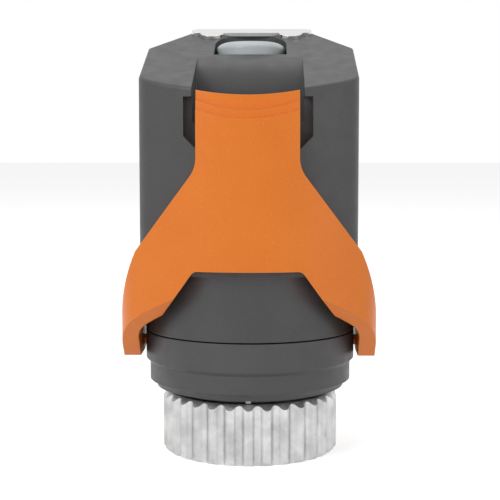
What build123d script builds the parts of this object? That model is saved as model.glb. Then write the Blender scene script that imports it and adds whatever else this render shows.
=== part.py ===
from build123d import *
import os
from math import acos, cos, degrees, pi, radians, sin, tan

os.makedirs("parts", exist_ok=True)

# Motorised actuator head for a heating valve.
# Origin: centre of the union nut's mouth. +Z points up along the valve's axis, -Y is the front.

# ---------------------------------------------------------------- clearances
play = 0.3  # between pieces that move past each other
running = 0.05  # radial, shaft in hole
thread_play = 0.08  # radial, spindle in the drive gear

# ---------------------------------------------------------------- valve connection
thread_size = 30.0
thread_pitch = 1.5
thread_depth_share = 1.0825  # of the pitch, from crest to crest across the bore
thread_length = 6.8
thread_relief_radius = 15.2
nut_radius = 18.0
nut_height = 12.2
nut_ridges = 30
ridge_depth = 0.9
ridge_shoulder = 0.3  # height of the ridge's edge above the valley
ridge_share = 0.6  # part of each step taken by the ridge
nut_edge = 0.6
seat_height = 7.2
neck_radius = 12.6
neck_bore = 10.5
neck_flange = 2.0
neck_top = 19.0
lock_ring_height = 2.5
lock_ring_radius = 16.0

# ---------------------------------------------------------------- base ring
nut_gap = 1.2
lower_ring_radius = 20.7
lower_ring_height = 5.0
base_radius = 21.5
base_height = 6.4
base_bevel = 0.8
base_rounding = 1.4
base_floor = 3.0
land_radius = 16.4
spigot_radius = 19.2
spigot_wall = 2.0
spigot_height = 0.6
tab_width = 1.0
tab_length = 1.0

# ---------------------------------------------------------------- upper housing
seam_gap = 0.3
wall = 2.0
body_half_width = 21.5
body_front = 21.5
body_back = 19.9
front_arc_radius = 34.0
front_corner = 4.5
back_corner = 2.5
back_flat_half_width = 12.6
side_end = 7.2
roof_front_height = 73.0
roof_slope = 19.3
roof_rounding = 0.8
shoulder_height = 37.5
shoulder_rise = 4.0
cavity_shoulder = 43.5

# Finger recess behind the top of the lever
recess_half_width = 10.7
recess_floor = 67.0
recess_face = 6.0
recess_rounding = 9.0
mouth_half_width = 12.3
mouth_depth = 5.0
mouth_bottom = 61.6
mouth_corner = 2.8
mouth_top_margin = 1.1
inner_wall = 1.8

# Position indicator
indicator_radius = 7.2
indicator_place = 9.4
indicator_top = 84.2
indicator_dome = 1.6
indicator_skirt = 10.2
indicator_wall = 1.2
guide_wall = 1.2
guide_length = 9.0
arm_height = 2.5
rod_radius = 1.6
rod_foot = 3.0

# ---------------------------------------------------------------- gear train
module = 0.5
pressure_angle = 25.0
addendum = 0.8
dedendum = 1.1
tooth_play = 0.06
pinion_teeth = 12
wheel_teeth = 26
drive_teeth = 36
second_angle = 87.0
first_bearing = 200.0
motor_bearing = 247.0
plate_radius = 19.0
plate_thickness = 2.0
gasket_thickness = 0.6
bush_height = 1.0
bush_radius = 8.0
drive_face = 3.2
wheel_face = 2.0
level_gap = 0.4
drive_hub = 4.7
gear_hub = 1.6
axle_radius = 0.75
axle_depth = 1.5
gear_space = 12.0
top_plate_radius = 18.4
top_plate_thickness = 2.0
post_radius = 1.8
post_circle = 15.8
post_angles = (270, 348, 212)
post_screw_radius = 0.9
post_head_radius = 1.5
post_head_height = 1.1

# Screws that hold the bottom plate to the housing
boss_radius = 3.0
boss_circle = 14.6
boss_angles = (35, 235, 305)
screw_radius = 1.2
screw_length = 8.0
screw_head_radius = 2.2
screw_head_height = 1.5

# ---------------------------------------------------------------- spindle
stroke = 4.0
spindle_radius = 3.0
spindle_top = 46.0
spindle_flats = 4.4
tip_gap = 0.8
tip_thickness = 2.2
tip_radius = 5.0

# ---------------------------------------------------------------- motor
can_radius = 6.0
can_wall = 0.5
can_height = 16.0
cap_height = 2.5
core_radius = 4.4
core_height = 7.0
magnet_inner = 4.7
magnet_angle = 120.0
motor_bush_radius = 1.8
motor_bush_height = 1.6
core_gap = 0.45
commutator_radius = 1.7
commutator_height = 2.4
cradle_wall = 0.8
cradle_height = 5.0
terminal_width = 1.6
terminal_height = 3.0
terminal_thickness = 0.4
terminal_place = 4.2
brush_length = 1.8
brush_width = 1.2

# ---------------------------------------------------------------- circuit board and cable inlet
board_half_width = 13.0
board_height = 20.0
board_thickness = 1.6
board_place = 12.5
chip_size = 6.0
chip_thickness = 1.0
chip_height = 12.0
capacitor_radius = 2.4
capacitor_length = 5.0
capacitor_place = 8.0
header_width = 7.0
header_height = 4.0
header_depth = 4.0
inlet_centre = 49.0
inlet_half_width = 5.0
inlet_half_height = 3.6
inlet_wall = 1.0
inlet_depth = 11.0
inlet_floor = 2.0
inlet_flange = 1.6
inlet_flange_thickness = 1.0
inlet_gasket_thickness = 0.5
foot_half_width = 3.0
foot_depth = 4.0
contact_radius = 0.5
contact_spacing = 4.0
contact_length = 5.0

# ---------------------------------------------------------------- clamp lever
pivot_height = 27.9
trunnion_radius = 2.6
trunnion_length = 2.6
lever_thickness = 2.3
lever_gap = 0.4
arm_outer = 25.3
arm_end_radius = 7.6
arm_corner = 8.0
lever_front_arc = 37.0
lever_top = 73.1
neck_half_width = 9.8
neck_bottom = 58.4
neck_fillet = 6.0
skirt_top = 42.3
flare_middle_width = 24.2
flare_middle_height = 35.8
flare_end_height = 28.5
arch_half_width = 10.3
arch_height = 38.9
arch_fillet = 1.5
arch_end_width = 20.4
arch_end_height = 24.6
cut_front_height = 38.5
cut_rear = 7.7
cut_front = 26.6
lip_arc = 27.6
lip_bottom = 67.6
lip_band = 1.6
lip_step = 0.6
lip_bevel = 0.7
top_droop = 0.95
lug_reach = 5.5
lug_radius = 1.1
lug_height = 1.0
notch_depth = 1.2

# ---------------------------------------------------------------- clip on the roof
clip_half_width = 13.0
clip_place = 17.1
clip_width = 3.2
clip_thickness = 0.8
lobe_place = 8.5
lobe_radius = 2.5
lobe_forward = 1.9

# ---------------------------------------------------------------- derived places
thread_minor_radius = (thread_size - thread_depth_share * thread_pitch) / 2
neck_flange_radius = thread_minor_radius - play
flange_top = seat_height + neck_flange
nut_shoulder = flange_top + play
base_bottom = nut_height + nut_gap
land_bottom = nut_height + play
floor_top = base_bottom + base_floor
ring_step = base_bottom + lower_ring_height
seam = ring_step + base_height
housing_bottom = seam + seam_gap
spigot_top = seam + spigot_height
plate_bottom = spigot_top + gasket_thickness
plate_top = plate_bottom + plate_thickness
bush_top = plate_top + bush_height
top_plate_bottom = plate_top + gear_space
top_plate_top = top_plate_bottom + top_plate_thickness
collar_inner = base_radius - wall

drive_low = bush_top + running
drive_teeth_top = drive_low + drive_face
middle_low = drive_teeth_top + 2 * level_gap
middle_top = middle_low + wheel_face
upper_low = middle_top + 2 * level_gap
upper_top = upper_low + wheel_face

pinion_radius = module * pinion_teeth / 2
wheel_radius = module * wheel_teeth / 2
drive_radius = module * drive_teeth / 2
drive_distance = drive_radius + pinion_radius
wheel_distance = wheel_radius + pinion_radius
second_x = drive_distance * cos(radians(second_angle))
second_y = drive_distance * sin(radians(second_angle))
first_x = second_x + wheel_distance * cos(radians(first_bearing))
first_y = second_y + wheel_distance * sin(radians(first_bearing))
motor_x = first_x + wheel_distance * cos(radians(motor_bearing))
motor_y = first_y + wheel_distance * sin(radians(motor_bearing))

can_top = top_plate_top + can_height
motor_top = can_top + cap_height
core_low = top_plate_top + motor_bush_height + core_gap
core_top = core_low + core_height
commutator_low = can_top - commutator_height - play
inner_back = body_back - wall
inlet_front = body_back - inlet_depth
lever_front = body_front + lever_gap + lever_thickness
arm_inner = body_half_width + lever_gap
indicator_bottom = indicator_top - indicator_skirt
tip_height = plate_bottom - tip_gap - tip_thickness
arm_bottom = indicator_bottom - arm_height
roof_plane = Plane(
    origin=(0, -body_front, roof_front_height),
    x_dir=(1, 0, 0),
    z_dir=(0, -sin(radians(roof_slope)), cos(radians(roof_slope))),
)
ceiling_plane = roof_plane.offset(-wall)


def roof_height(y):
    """Height of the slanted roof at the given distance along Y."""
    return roof_front_height + (y + body_front) * tan(radians(roof_slope))


above_all = roof_height(2 * body_back)


def head_plan():
    """Outline of the head seen from above: bowed front, straight sides, bevelled back corners."""
    bow_centre = front_arc_radius - body_front
    side_start = bow_centre - (front_arc_radius**2 - body_half_width**2) ** 0.5
    with BuildSketch() as outline:
        with BuildLine():
            ThreePointArc(
                (-body_half_width, side_start), (0, -body_front), (body_half_width, side_start)
            )
            Polyline(
                (body_half_width, side_start),
                (body_half_width, side_end),
                (back_flat_half_width, body_back),
                (-back_flat_half_width, body_back),
                (-body_half_width, side_end),
                (-body_half_width, side_start),
            )
        make_face()
        fillet(outline.vertices().group_by(Axis.Y)[0], radius=front_corner)
        fillet(outline.vertices().group_by(Axis.Y)[-1], radius=back_corner)
    return outline.sketch


def window_plan(radius):
    """Outline round the indicator: a half circle at the back and a straight edge in front."""
    with BuildSketch() as outline:
        with Locations((0, indicator_place)):
            Circle(radius)
            Rectangle(2 * radius, radius, align=(Align.CENTER, Align.MAX))
    return outline.sketch


def gear_plan(teeth, tooth_angle):
    """Involute spur gear with one tooth centred at tooth_angle in degrees."""
    pitch = module * teeth / 2
    base = pitch * cos(radians(pressure_angle))
    root = pitch - dedendum * module
    tip = pitch + addendum * module
    involute_at_pitch = tan(radians(pressure_angle)) - radians(pressure_angle)

    def half_tooth(radius):
        """Half the tooth's angle at the given radius, in degrees."""
        slope = acos(min(1.0, base / radius))
        involute = tan(slope) - slope
        return degrees(pi / 2 / teeth - tooth_play / pitch + involute_at_pitch - involute)

    flank = sorted({root, max(base, root), pitch, tip})
    with BuildSketch() as outline:
        with BuildLine():
            corners = []
            for tooth in range(teeth):
                middle = tooth_angle + tooth * 360 / teeth
                for radius in flank:
                    turn = radians(middle - half_tooth(radius))
                    corners.append((radius * cos(turn), radius * sin(turn)))
                for radius in reversed(flank):
                    turn = radians(middle + half_tooth(radius))
                    corners.append((radius * cos(turn), radius * sin(turn)))
            Polyline(*corners, close=True)
        make_face()
    return outline.sketch


def polar_place(radius, angle):
    """Point at the given radius and angle round the valve's axis."""
    return (radius * cos(radians(angle)), radius * sin(radians(angle)))


def lug_track(grow):
    """Side view of the ring-shaped track round the lever's pivot, from rest to fully open."""
    with BuildSketch() as outline:
        with Locations((0, pivot_height)):
            Circle(lug_reach + grow)
            Circle(lug_reach - grow, mode=Mode.SUBTRACT)
        with Locations((-grow, pivot_height)):
            Rectangle(
                2 * base_radius,
                2 * base_radius,
                align=(Align.MAX, Align.CENTER),
                mode=Mode.SUBTRACT,
            )
    return outline.sketch


outer_plan = head_plan()

# ---------------------------------------------------------------- union nut
with BuildPart() as union_nut:
    with BuildSketch():
        with BuildLine():
            step = 360 / nut_ridges
            ridge_half = ridge_share * step / 2
            valley_radius = nut_radius - ridge_depth
            edge_radius = valley_radius + ridge_shoulder
            for ridge in range(nut_ridges):
                middle = ridge * step - 90
                ThreePointArc(
                    polar_place(edge_radius, middle - ridge_half),
                    polar_place(nut_radius, middle),
                    polar_place(edge_radius, middle + ridge_half),
                )
                ThreePointArc(
                    polar_place(edge_radius, middle + ridge_half),
                    polar_place(valley_radius, middle + step / 2),
                    polar_place(edge_radius, middle + step - ridge_half),
                )
        make_face()
    extrude(amount=nut_height)
    with BuildSketch(Plane.XZ):
        with BuildLine():
            Polyline(
                (0, 0),
                (nut_radius - nut_edge, 0),
                (nut_radius, nut_edge),
                (nut_radius, nut_height - 2 * nut_edge),
                (nut_radius - 2 * nut_edge, nut_height),
                (0, nut_height),
                close=True,
            )
        make_face()
    revolve(axis=Axis.Z, mode=Mode.INTERSECT)
    with BuildSketch():
        Circle(thread_minor_radius)
    extrude(amount=thread_length, mode=Mode.SUBTRACT)
    # Undercut past the thread, in which the neck's flange turns.
    with BuildSketch(Plane.XY.offset(thread_length)):
        Circle(thread_relief_radius)
    extrude(amount=nut_shoulder - thread_length, mode=Mode.SUBTRACT)
    with BuildSketch(Plane.XY.offset(nut_shoulder)):
        Circle(neck_radius + play)
    extrude(amount=nut_height, mode=Mode.SUBTRACT)
union_nut.part.label = "union_nut"
export_step(union_nut.part, "parts/union_nut.step")

# ---------------------------------------------------------------- neck sleeve that carries the nut
with BuildPart() as neck_sleeve:
    with BuildSketch(Plane.XY.offset(seat_height)):
        Circle(neck_flange_radius)
    extrude(amount=neck_flange)
    with BuildSketch(Plane.XY.offset(seat_height)):
        Circle(neck_radius)
    extrude(amount=neck_top - seat_height)
    with BuildSketch(Plane.XY.offset(seat_height)):
        Circle(neck_bore)
    extrude(amount=neck_top - seat_height, mode=Mode.SUBTRACT)
neck_sleeve.part.label = "neck_sleeve"
export_step(neck_sleeve.part, "parts/neck_sleeve.step")

# ---------------------------------------------------------------- ring that locks the sleeve in the base
with BuildPart() as lock_ring:
    with BuildSketch(Plane.XY.offset(floor_top)):
        Circle(lock_ring_radius)
        Circle(neck_radius, mode=Mode.SUBTRACT)
    extrude(amount=lock_ring_height)
lock_ring.part.label = "lock_ring"
export_step(lock_ring.part, "parts/lock_ring.step")

# ---------------------------------------------------------------- base ring
with BuildPart() as base_ring:
    with BuildSketch(Plane.XZ):
        with BuildLine():
            Line((neck_radius, land_bottom), (land_radius, land_bottom))
            Line((land_radius, land_bottom), (land_radius, base_bottom))
            Line((land_radius, base_bottom), (lower_ring_radius - base_rounding, base_bottom))
            RadiusArc(
                (lower_ring_radius - base_rounding, base_bottom),
                (lower_ring_radius, base_bottom + base_rounding),
                base_rounding,
            )
            Polyline(
                (lower_ring_radius, base_bottom + base_rounding),
                (lower_ring_radius, ring_step),
                (base_radius, ring_step + base_bevel),
                (base_radius, seam),
                (spigot_radius, seam),
                (spigot_radius, spigot_top),
                (spigot_radius - spigot_wall, spigot_top),
                (spigot_radius - spigot_wall, floor_top),
                (neck_radius, floor_top),
                (neck_radius, land_bottom),
            )
        make_face()
    revolve(axis=Axis.Z)
    # Notches in which the lever's lugs swing, one each side.
    for notch_start in (base_radius - notch_depth, -base_radius):
        with BuildSketch(Plane.YZ.offset(notch_start)):
            add(lug_track(lug_radius + play))
        extrude(amount=notch_depth, mode=Mode.SUBTRACT)
base_ring.part.label = "base_ring"
export_step(base_ring.part, "parts/base_ring.step")

# ---------------------------------------------------------------- light tab under the base ring's front
with BuildPart() as index_tab:
    with BuildSketch(Plane.XY.offset(land_bottom)):
        with Locations((0, -land_radius)):
            Rectangle(tab_width, tab_length, align=(Align.CENTER, Align.MAX))
        Circle(land_radius, mode=Mode.SUBTRACT)
    extrude(amount=nut_gap - play)
index_tab.part.label = "index_tab"
export_step(index_tab.part, "parts/index_tab.step")

# ---------------------------------------------------------------- gasket between base ring and bottom plate
with BuildPart() as base_gasket:
    with BuildSketch(Plane.XY.offset(spigot_top)):
        Circle(spigot_radius)
        Circle(spigot_radius - spigot_wall, mode=Mode.SUBTRACT)
    extrude(amount=gasket_thickness)
base_gasket.part.label = "base_gasket"
export_step(base_gasket.part, "parts/base_gasket.step")

# ---------------------------------------------------------------- upper housing
guide_low = roof_height(indicator_place) - guide_length
with BuildPart() as housing_cavity:
    with BuildSketch(Plane.XY.offset(cavity_shoulder)):
        add(outer_plan)
        offset(amount=-wall, kind=Kind.INTERSECTION)
    extrude(amount=above_all - cavity_shoulder)
    with BuildSketch(Plane.XY.offset(housing_bottom)):
        Circle(collar_inner)
    extrude(amount=cavity_shoulder - housing_bottom)
    split(bisect_by=ceiling_plane, keep=Keep.BOTTOM)
    # Room left for the walls round the finger recess and its wider mouth.
    with BuildSketch(Plane.YZ):
        with Locations((-recess_face + inner_wall, recess_floor - inner_wall)):
            Rectangle(2 * body_front, above_all, align=(Align.MAX, Align.MIN))
    extrude(amount=recess_half_width + inner_wall, both=True, mode=Mode.SUBTRACT)
    with BuildSketch(Plane.YZ):
        with Locations((-body_front + mouth_depth + inner_wall, mouth_bottom - inner_wall)):
            Rectangle(body_front, above_all, align=(Align.MAX, Align.MIN))
    extrude(amount=mouth_half_width + inner_wall, both=True, mode=Mode.SUBTRACT)
    # Room left for the guide tube round the indicator.
    with BuildSketch(Plane.XY.offset(guide_low)):
        add(window_plan(indicator_radius + play + guide_wall))
    extrude(amount=above_all - guide_low, mode=Mode.SUBTRACT)
    # Room left for the screw bosses, each with a rib to the wall.
    with BuildSketch(Plane.XY.offset(plate_top)):
        for angle in boss_angles:
            with Locations(polar_place(boss_circle, angle)):
                Circle(boss_radius)
            with Locations(Location(polar_place(boss_circle, angle), angle)):
                Rectangle(base_radius, boss_radius, align=(Align.MIN, Align.CENTER))
    extrude(amount=gear_space - play, mode=Mode.SUBTRACT)

recess_top_y = recess_rounding * (1 - sin(radians(roof_slope))) - recess_face
recess_turn_height = roof_height(recess_top_y) - recess_rounding * cos(radians(roof_slope))
recess_mid_angle = radians((90 + roof_slope) / 2)
recess_centre_y = recess_rounding - recess_face

with BuildPart() as upper_housing:
    with BuildSketch(Plane.XY.offset(shoulder_height)):
        add(outer_plan)
    extrude(amount=above_all - shoulder_height)
    # The square head narrows to the round collar over a turned shoulder.
    with BuildSketch(Plane.XZ):
        with BuildLine():
            Polyline(
                (0, shoulder_height),
                (base_radius, shoulder_height),
                (base_radius + shoulder_rise, shoulder_height + shoulder_rise),
                (base_radius + shoulder_rise, above_all),
                (0, above_all),
                close=True,
            )
        make_face()
    revolve(axis=Axis.Z, mode=Mode.INTERSECT)
    with BuildSketch(Plane.XY.offset(housing_bottom)):
        Circle(base_radius)
    extrude(amount=shoulder_height + shoulder_rise - housing_bottom)
    add(housing_cavity.part, mode=Mode.SUBTRACT)
    split(bisect_by=roof_plane, keep=Keep.BOTTOM)
    fillet(upper_housing.faces().sort_by(Axis.Z)[-1].outer_wire().edges(), radius=roof_rounding)
    with BuildSketch(Plane.XY.offset(guide_low)):
        add(window_plan(indicator_radius + play))
    extrude(amount=above_all - guide_low, mode=Mode.SUBTRACT)
    with BuildSketch(Plane.YZ):
        with BuildLine():
            ThreePointArc(
                (recess_top_y, roof_height(recess_top_y)),
                (
                    recess_centre_y - recess_rounding * sin(recess_mid_angle),
                    recess_turn_height + recess_rounding * cos(recess_mid_angle),
                ),
                (-recess_face, recess_turn_height),
            )
            Polyline(
                (-recess_face, recess_turn_height),
                (-recess_face, recess_floor),
                (-2 * body_front, recess_floor),
                (-2 * body_front, above_all),
                (recess_top_y, above_all),
                (recess_top_y, roof_height(recess_top_y)),
            )
        make_face()
    extrude(amount=recess_half_width, both=True, mode=Mode.SUBTRACT)
    with BuildSketch(Plane.XZ.offset(body_front - mouth_depth)) as mouth:
        with Locations((0, mouth_bottom)):
            Rectangle(
                2 * mouth_half_width,
                roof_front_height - mouth_top_margin - mouth_bottom,
                align=(Align.CENTER, Align.MIN),
            )
        chamfer(mouth.vertices().group_by(Axis.Y)[0], length=mouth_corner)
    extrude(amount=2 * mouth_depth, mode=Mode.SUBTRACT)
    # Screw holes up into the bosses.
    with BuildSketch(Plane.XY.offset(plate_top)):
        for angle in boss_angles:
            with Locations(polar_place(boss_circle, angle)):
                Circle(screw_radius)
    extrude(amount=screw_length + play, mode=Mode.SUBTRACT)
    # Tracks of the lever's lugs, which rise into the collar as the lever opens.
    for track_start in (base_radius - notch_depth, -base_radius):
        with BuildSketch(Plane.YZ.offset(track_start)):
            add(lug_track(lug_radius + play))
        extrude(amount=notch_depth, mode=Mode.SUBTRACT)
    # Cable inlet through the back wall.
    with BuildSketch(Plane.XZ.offset(-body_back)):
        with Locations((0, inlet_centre)):
            Rectangle(2 * inlet_half_width, 2 * inlet_half_height)
    extrude(amount=wall, mode=Mode.SUBTRACT)
    # Trunnions for the clamp lever.
    with BuildSketch(Plane.YZ.offset(body_half_width - wall / 2)):
        with Locations((0, pivot_height)):
            Circle(trunnion_radius)
    extrude(amount=wall / 2 + trunnion_length)
    with BuildSketch(Plane.YZ.offset(-body_half_width + wall / 2)):
        with Locations((0, pivot_height)):
            Circle(trunnion_radius)
    extrude(amount=-wall / 2 - trunnion_length)
upper_housing.part.label = "upper_housing"
export_step(upper_housing.part, "parts/upper_housing.step")

# ---------------------------------------------------------------- bottom plate of the head
with BuildPart() as bottom_plate:
    with BuildSketch(Plane.XY.offset(plate_bottom)):
        Circle(plate_radius)
        Circle(spindle_radius + running, mode=Mode.SUBTRACT)
        for side in (1, -1):
            with Locations((0, side * (spindle_flats / 2 + running))):
                Rectangle(
                    2 * spindle_radius,
                    spindle_radius,
                    align=(Align.CENTER, Align.MIN if side == 1 else Align.MAX),
                )
        for angle in boss_angles:
            with Locations(polar_place(boss_circle, angle)):
                Circle(screw_radius, mode=Mode.SUBTRACT)
    extrude(amount=plate_thickness)
    with BuildSketch(Plane.XY.offset(plate_top)):
        for x, y in ((first_x, first_y), (second_x, second_y)):
            with Locations((x, y)):
                Circle(axle_radius)
        for angle in post_angles:
            with Locations(polar_place(post_circle, angle)):
                Circle(post_screw_radius)
    extrude(amount=-axle_depth, mode=Mode.SUBTRACT)
bottom_plate.part.label = "bottom_plate"
export_step(bottom_plate.part, "parts/bottom_plate.step")

# ---------------------------------------------------------------- screws from the bottom plate into the housing
with BuildPart() as housing_screws:
    for angle in boss_angles:
        with BuildSketch(Plane.XY.offset(plate_bottom)):
            with Locations(polar_place(boss_circle, angle)):
                Circle(screw_radius)
        extrude(amount=plate_thickness + screw_length)
        with BuildSketch(Plane.XY.offset(plate_bottom)):
            with Locations(polar_place(boss_circle, angle)):
                Circle(screw_head_radius)
        extrude(amount=-screw_head_height)
        with BuildSketch(Plane.XY.offset(plate_bottom - screw_head_height)):
            with Locations(Location(polar_place(boss_circle, angle), angle)):
                Rectangle(2 * screw_radius, screw_radius / 2)
                Rectangle(screw_radius / 2, 2 * screw_radius)
        extrude(amount=screw_head_height / 2, mode=Mode.SUBTRACT)
housing_screws.part.label = "housing_screws"
export_step(housing_screws.part, "parts/housing_screws.step")

# ---------------------------------------------------------------- top plate of the gearbox
with BuildPart() as gearbox_top_plate:
    with BuildSketch(Plane.XY.offset(top_plate_bottom)):
        Circle(top_plate_radius)
        Circle(drive_hub + running, mode=Mode.SUBTRACT)
        for angle in boss_angles:
            with Locations(polar_place(boss_circle, angle)):
                Circle(boss_radius + play, mode=Mode.SUBTRACT)
            with Locations(Location(polar_place(boss_circle, angle), angle)):
                Rectangle(
                    base_radius,
                    boss_radius + 2 * play,
                    align=(Align.MIN, Align.CENTER),
                    mode=Mode.SUBTRACT,
                )
        with Locations((first_x, first_y), (second_x, second_y)):
            Circle(axle_radius, mode=Mode.SUBTRACT)
        with Locations((motor_x, motor_y)):
            Circle(motor_bush_radius, mode=Mode.SUBTRACT)
        for angle in post_angles:
            with Locations(polar_place(post_circle, angle)):
                Circle(post_screw_radius, mode=Mode.SUBTRACT)
    extrude(amount=top_plate_thickness)
    with BuildSketch(Plane.XY.offset(top_plate_top)):
        with Locations((motor_x, motor_y)):
            Circle(can_radius + cradle_wall)
            Circle(can_radius, mode=Mode.SUBTRACT)
    extrude(amount=cradle_height)
gearbox_top_plate.part.label = "gearbox_top_plate"
export_step(gearbox_top_plate.part, "parts/gearbox_top_plate.step")

# ---------------------------------------------------------------- spacer posts and their screws
with BuildPart() as gearbox_posts:
    with BuildSketch(Plane.XY.offset(plate_top)):
        for angle in post_angles:
            with Locations(polar_place(post_circle, angle)):
                Circle(post_radius)
                Circle(post_screw_radius, mode=Mode.SUBTRACT)
    extrude(amount=gear_space)
gearbox_posts.part.label = "gearbox_posts"
export_step(gearbox_posts.part, "parts/gearbox_posts.step")

with BuildPart() as gearbox_screws:
    for angle in post_angles:
        with BuildSketch(Plane.XY.offset(plate_top - axle_depth)):
            with Locations(polar_place(post_circle, angle)):
                Circle(post_screw_radius)
        extrude(amount=top_plate_top - plate_top + axle_depth)
        with BuildSketch(Plane.XY.offset(top_plate_top)):
            with Locations(polar_place(post_circle, angle)):
                Circle(post_head_radius)
        extrude(amount=post_head_height)
        with BuildSketch(Plane.XY.offset(top_plate_top + post_head_height)):
            with Locations(Location(polar_place(post_circle, angle), angle)):
                Rectangle(2 * post_screw_radius, post_screw_radius / 2)
                Rectangle(post_screw_radius / 2, 2 * post_screw_radius)
        extrude(amount=-post_head_height / 2, mode=Mode.SUBTRACT)
gearbox_screws.part.label = "gearbox_screws"
export_step(gearbox_screws.part, "parts/gearbox_screws.step")

# ---------------------------------------------------------------- bush under the drive gear
with BuildPart() as thrust_bush:
    with BuildSketch(Plane.XY.offset(plate_top)):
        Circle(bush_radius)
        Circle(drive_hub + running, mode=Mode.SUBTRACT)
    extrude(amount=bush_height)
thrust_bush.part.label = "thrust_bush"
export_step(thrust_bush.part, "parts/thrust_bush.step")

# ---------------------------------------------------------------- drive gear with the spindle's nut
with BuildPart() as drive_gear:
    with BuildSketch(Plane.XY.offset(plate_top + play)):
        Circle(drive_hub)
    extrude(amount=top_plate_top - plate_top)
    with BuildSketch(Plane.XY.offset(drive_low)):
        add(gear_plan(drive_teeth, second_angle))
    extrude(amount=drive_face)
    with BuildSketch(Plane.XY.offset(plate_top)):
        Circle(spindle_radius + thread_play)
    extrude(amount=2 * gear_space, mode=Mode.SUBTRACT)
drive_gear.part.label = "drive_gear"
export_step(drive_gear.part, "parts/drive_gear.step")

# ---------------------------------------------------------------- second compound gear
with BuildPart() as second_gear:
    with BuildSketch(Plane((second_x, second_y, plate_top + running))):
        Circle(gear_hub)
    extrude(amount=gear_space - 2 * running)
    with BuildSketch(Plane((second_x, second_y, drive_low - level_gap / 2))):
        add(gear_plan(pinion_teeth, second_angle + 180 + 180 / pinion_teeth))
    extrude(amount=middle_low - drive_low + level_gap / 2)
    with BuildSketch(Plane((second_x, second_y, middle_low))):
        add(gear_plan(wheel_teeth, first_bearing))
    extrude(amount=wheel_face)
    with BuildSketch(Plane((second_x, second_y, plate_top))):
        Circle(axle_radius + running)
    extrude(amount=gear_space, mode=Mode.SUBTRACT)
second_gear.part.label = "second_gear"
export_step(second_gear.part, "parts/second_gear.step")

# ---------------------------------------------------------------- first compound gear
with BuildPart() as first_gear:
    with BuildSketch(Plane((first_x, first_y, plate_top + running))):
        Circle(gear_hub)
    extrude(amount=gear_space - 2 * running)
    with BuildSketch(Plane((first_x, first_y, middle_low - level_gap / 2))):
        add(gear_plan(pinion_teeth, first_bearing + 180 + 180 / pinion_teeth))
    extrude(amount=upper_low - middle_low + level_gap / 2)
    with BuildSketch(Plane((first_x, first_y, upper_low))):
        add(gear_plan(wheel_teeth, motor_bearing))
    extrude(amount=wheel_face)
    with BuildSketch(Plane((first_x, first_y, plate_top))):
        Circle(axle_radius + running)
    extrude(amount=gear_space, mode=Mode.SUBTRACT)
first_gear.part.label = "first_gear"
export_step(first_gear.part, "parts/first_gear.step")

# ---------------------------------------------------------------- fixed axles of the two compound gears
with BuildPart() as gear_axles:
    with BuildSketch(Plane.XY.offset(plate_top - axle_depth)):
        with Locations((first_x, first_y), (second_x, second_y)):
            Circle(axle_radius)
    extrude(amount=top_plate_top - plate_top + axle_depth)
gear_axles.part.label = "gear_axles"
export_step(gear_axles.part, "parts/gear_axles.step")

# ---------------------------------------------------------------- motor: pinion and turning parts
pinion_low = upper_low - level_gap / 2
pinion_top = upper_top + level_gap / 2
with BuildPart() as motor_pinion:
    with BuildSketch(Plane((motor_x, motor_y, pinion_low))):
        add(gear_plan(pinion_teeth, motor_bearing + 180 + 180 / pinion_teeth))
        Circle(axle_radius, mode=Mode.SUBTRACT)
    extrude(amount=pinion_top - pinion_low)
motor_pinion.part.label = "motor_pinion"
export_step(motor_pinion.part, "parts/motor_pinion.step")

with BuildPart() as rotor_shaft:
    with BuildSketch(Plane((motor_x, motor_y, pinion_low))):
        Circle(axle_radius)
    extrude(amount=motor_top - pinion_low)
rotor_shaft.part.label = "rotor_shaft"
export_step(rotor_shaft.part, "parts/rotor_shaft.step")

with BuildPart() as rotor_core:
    with BuildSketch(Plane((motor_x, motor_y, core_low))):
        Circle(core_radius)
        with PolarLocations(core_radius, 3):
            Rectangle(core_radius, axle_radius, mode=Mode.SUBTRACT)
        Circle(axle_radius, mode=Mode.SUBTRACT)
    extrude(amount=core_height)
rotor_core.part.label = "rotor_core"
export_step(rotor_core.part, "parts/rotor_core.step")

with BuildPart() as commutator:
    with BuildSketch(Plane((motor_x, motor_y, commutator_low))):
        Circle(commutator_radius)
        Circle(axle_radius, mode=Mode.SUBTRACT)
    extrude(amount=commutator_height)
commutator.part.label = "commutator"
export_step(commutator.part, "parts/commutator.step")

# ---------------------------------------------------------------- motor: fixed parts
with BuildPart() as motor_can:
    with BuildSketch(Plane((motor_x, motor_y, top_plate_top))):
        Circle(can_radius)
    extrude(amount=can_height)
    with BuildSketch(Plane((motor_x, motor_y, top_plate_top + can_wall))):
        Circle(can_radius - can_wall)
    extrude(amount=can_height, mode=Mode.SUBTRACT)
    with BuildSketch(Plane((motor_x, motor_y, top_plate_top))):
        Circle(motor_bush_radius)
    extrude(amount=can_wall, mode=Mode.SUBTRACT)
motor_can.part.label = "motor_can"
export_step(motor_can.part, "parts/motor_can.step")

with BuildPart() as motor_magnets:
    with BuildSketch(Plane((motor_x, motor_y, core_low))):
        for middle in (0, 180):
            with BuildLine():
                outer = CenterArc((0, 0), can_radius - can_wall, middle - magnet_angle / 2, magnet_angle)
                inner = CenterArc((0, 0), magnet_inner, middle - magnet_angle / 2, magnet_angle)
                Line(outer @ 0, inner @ 0)
                Line(outer @ 1, inner @ 1)
            make_face()
    extrude(amount=core_height)
motor_magnets.part.label = "motor_magnets"
export_step(motor_magnets.part, "parts/motor_magnets.step")

with BuildPart() as motor_bushes:
    for low in (top_plate_top - motor_bush_height / 2, can_top + play):
        with BuildSketch(Plane((motor_x, motor_y, low))):
            Circle(motor_bush_radius)
            Circle(axle_radius + running, mode=Mode.SUBTRACT)
        extrude(amount=motor_bush_height)
motor_bushes.part.label = "motor_bushes"
export_step(motor_bushes.part, "parts/motor_bushes.step")

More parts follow.
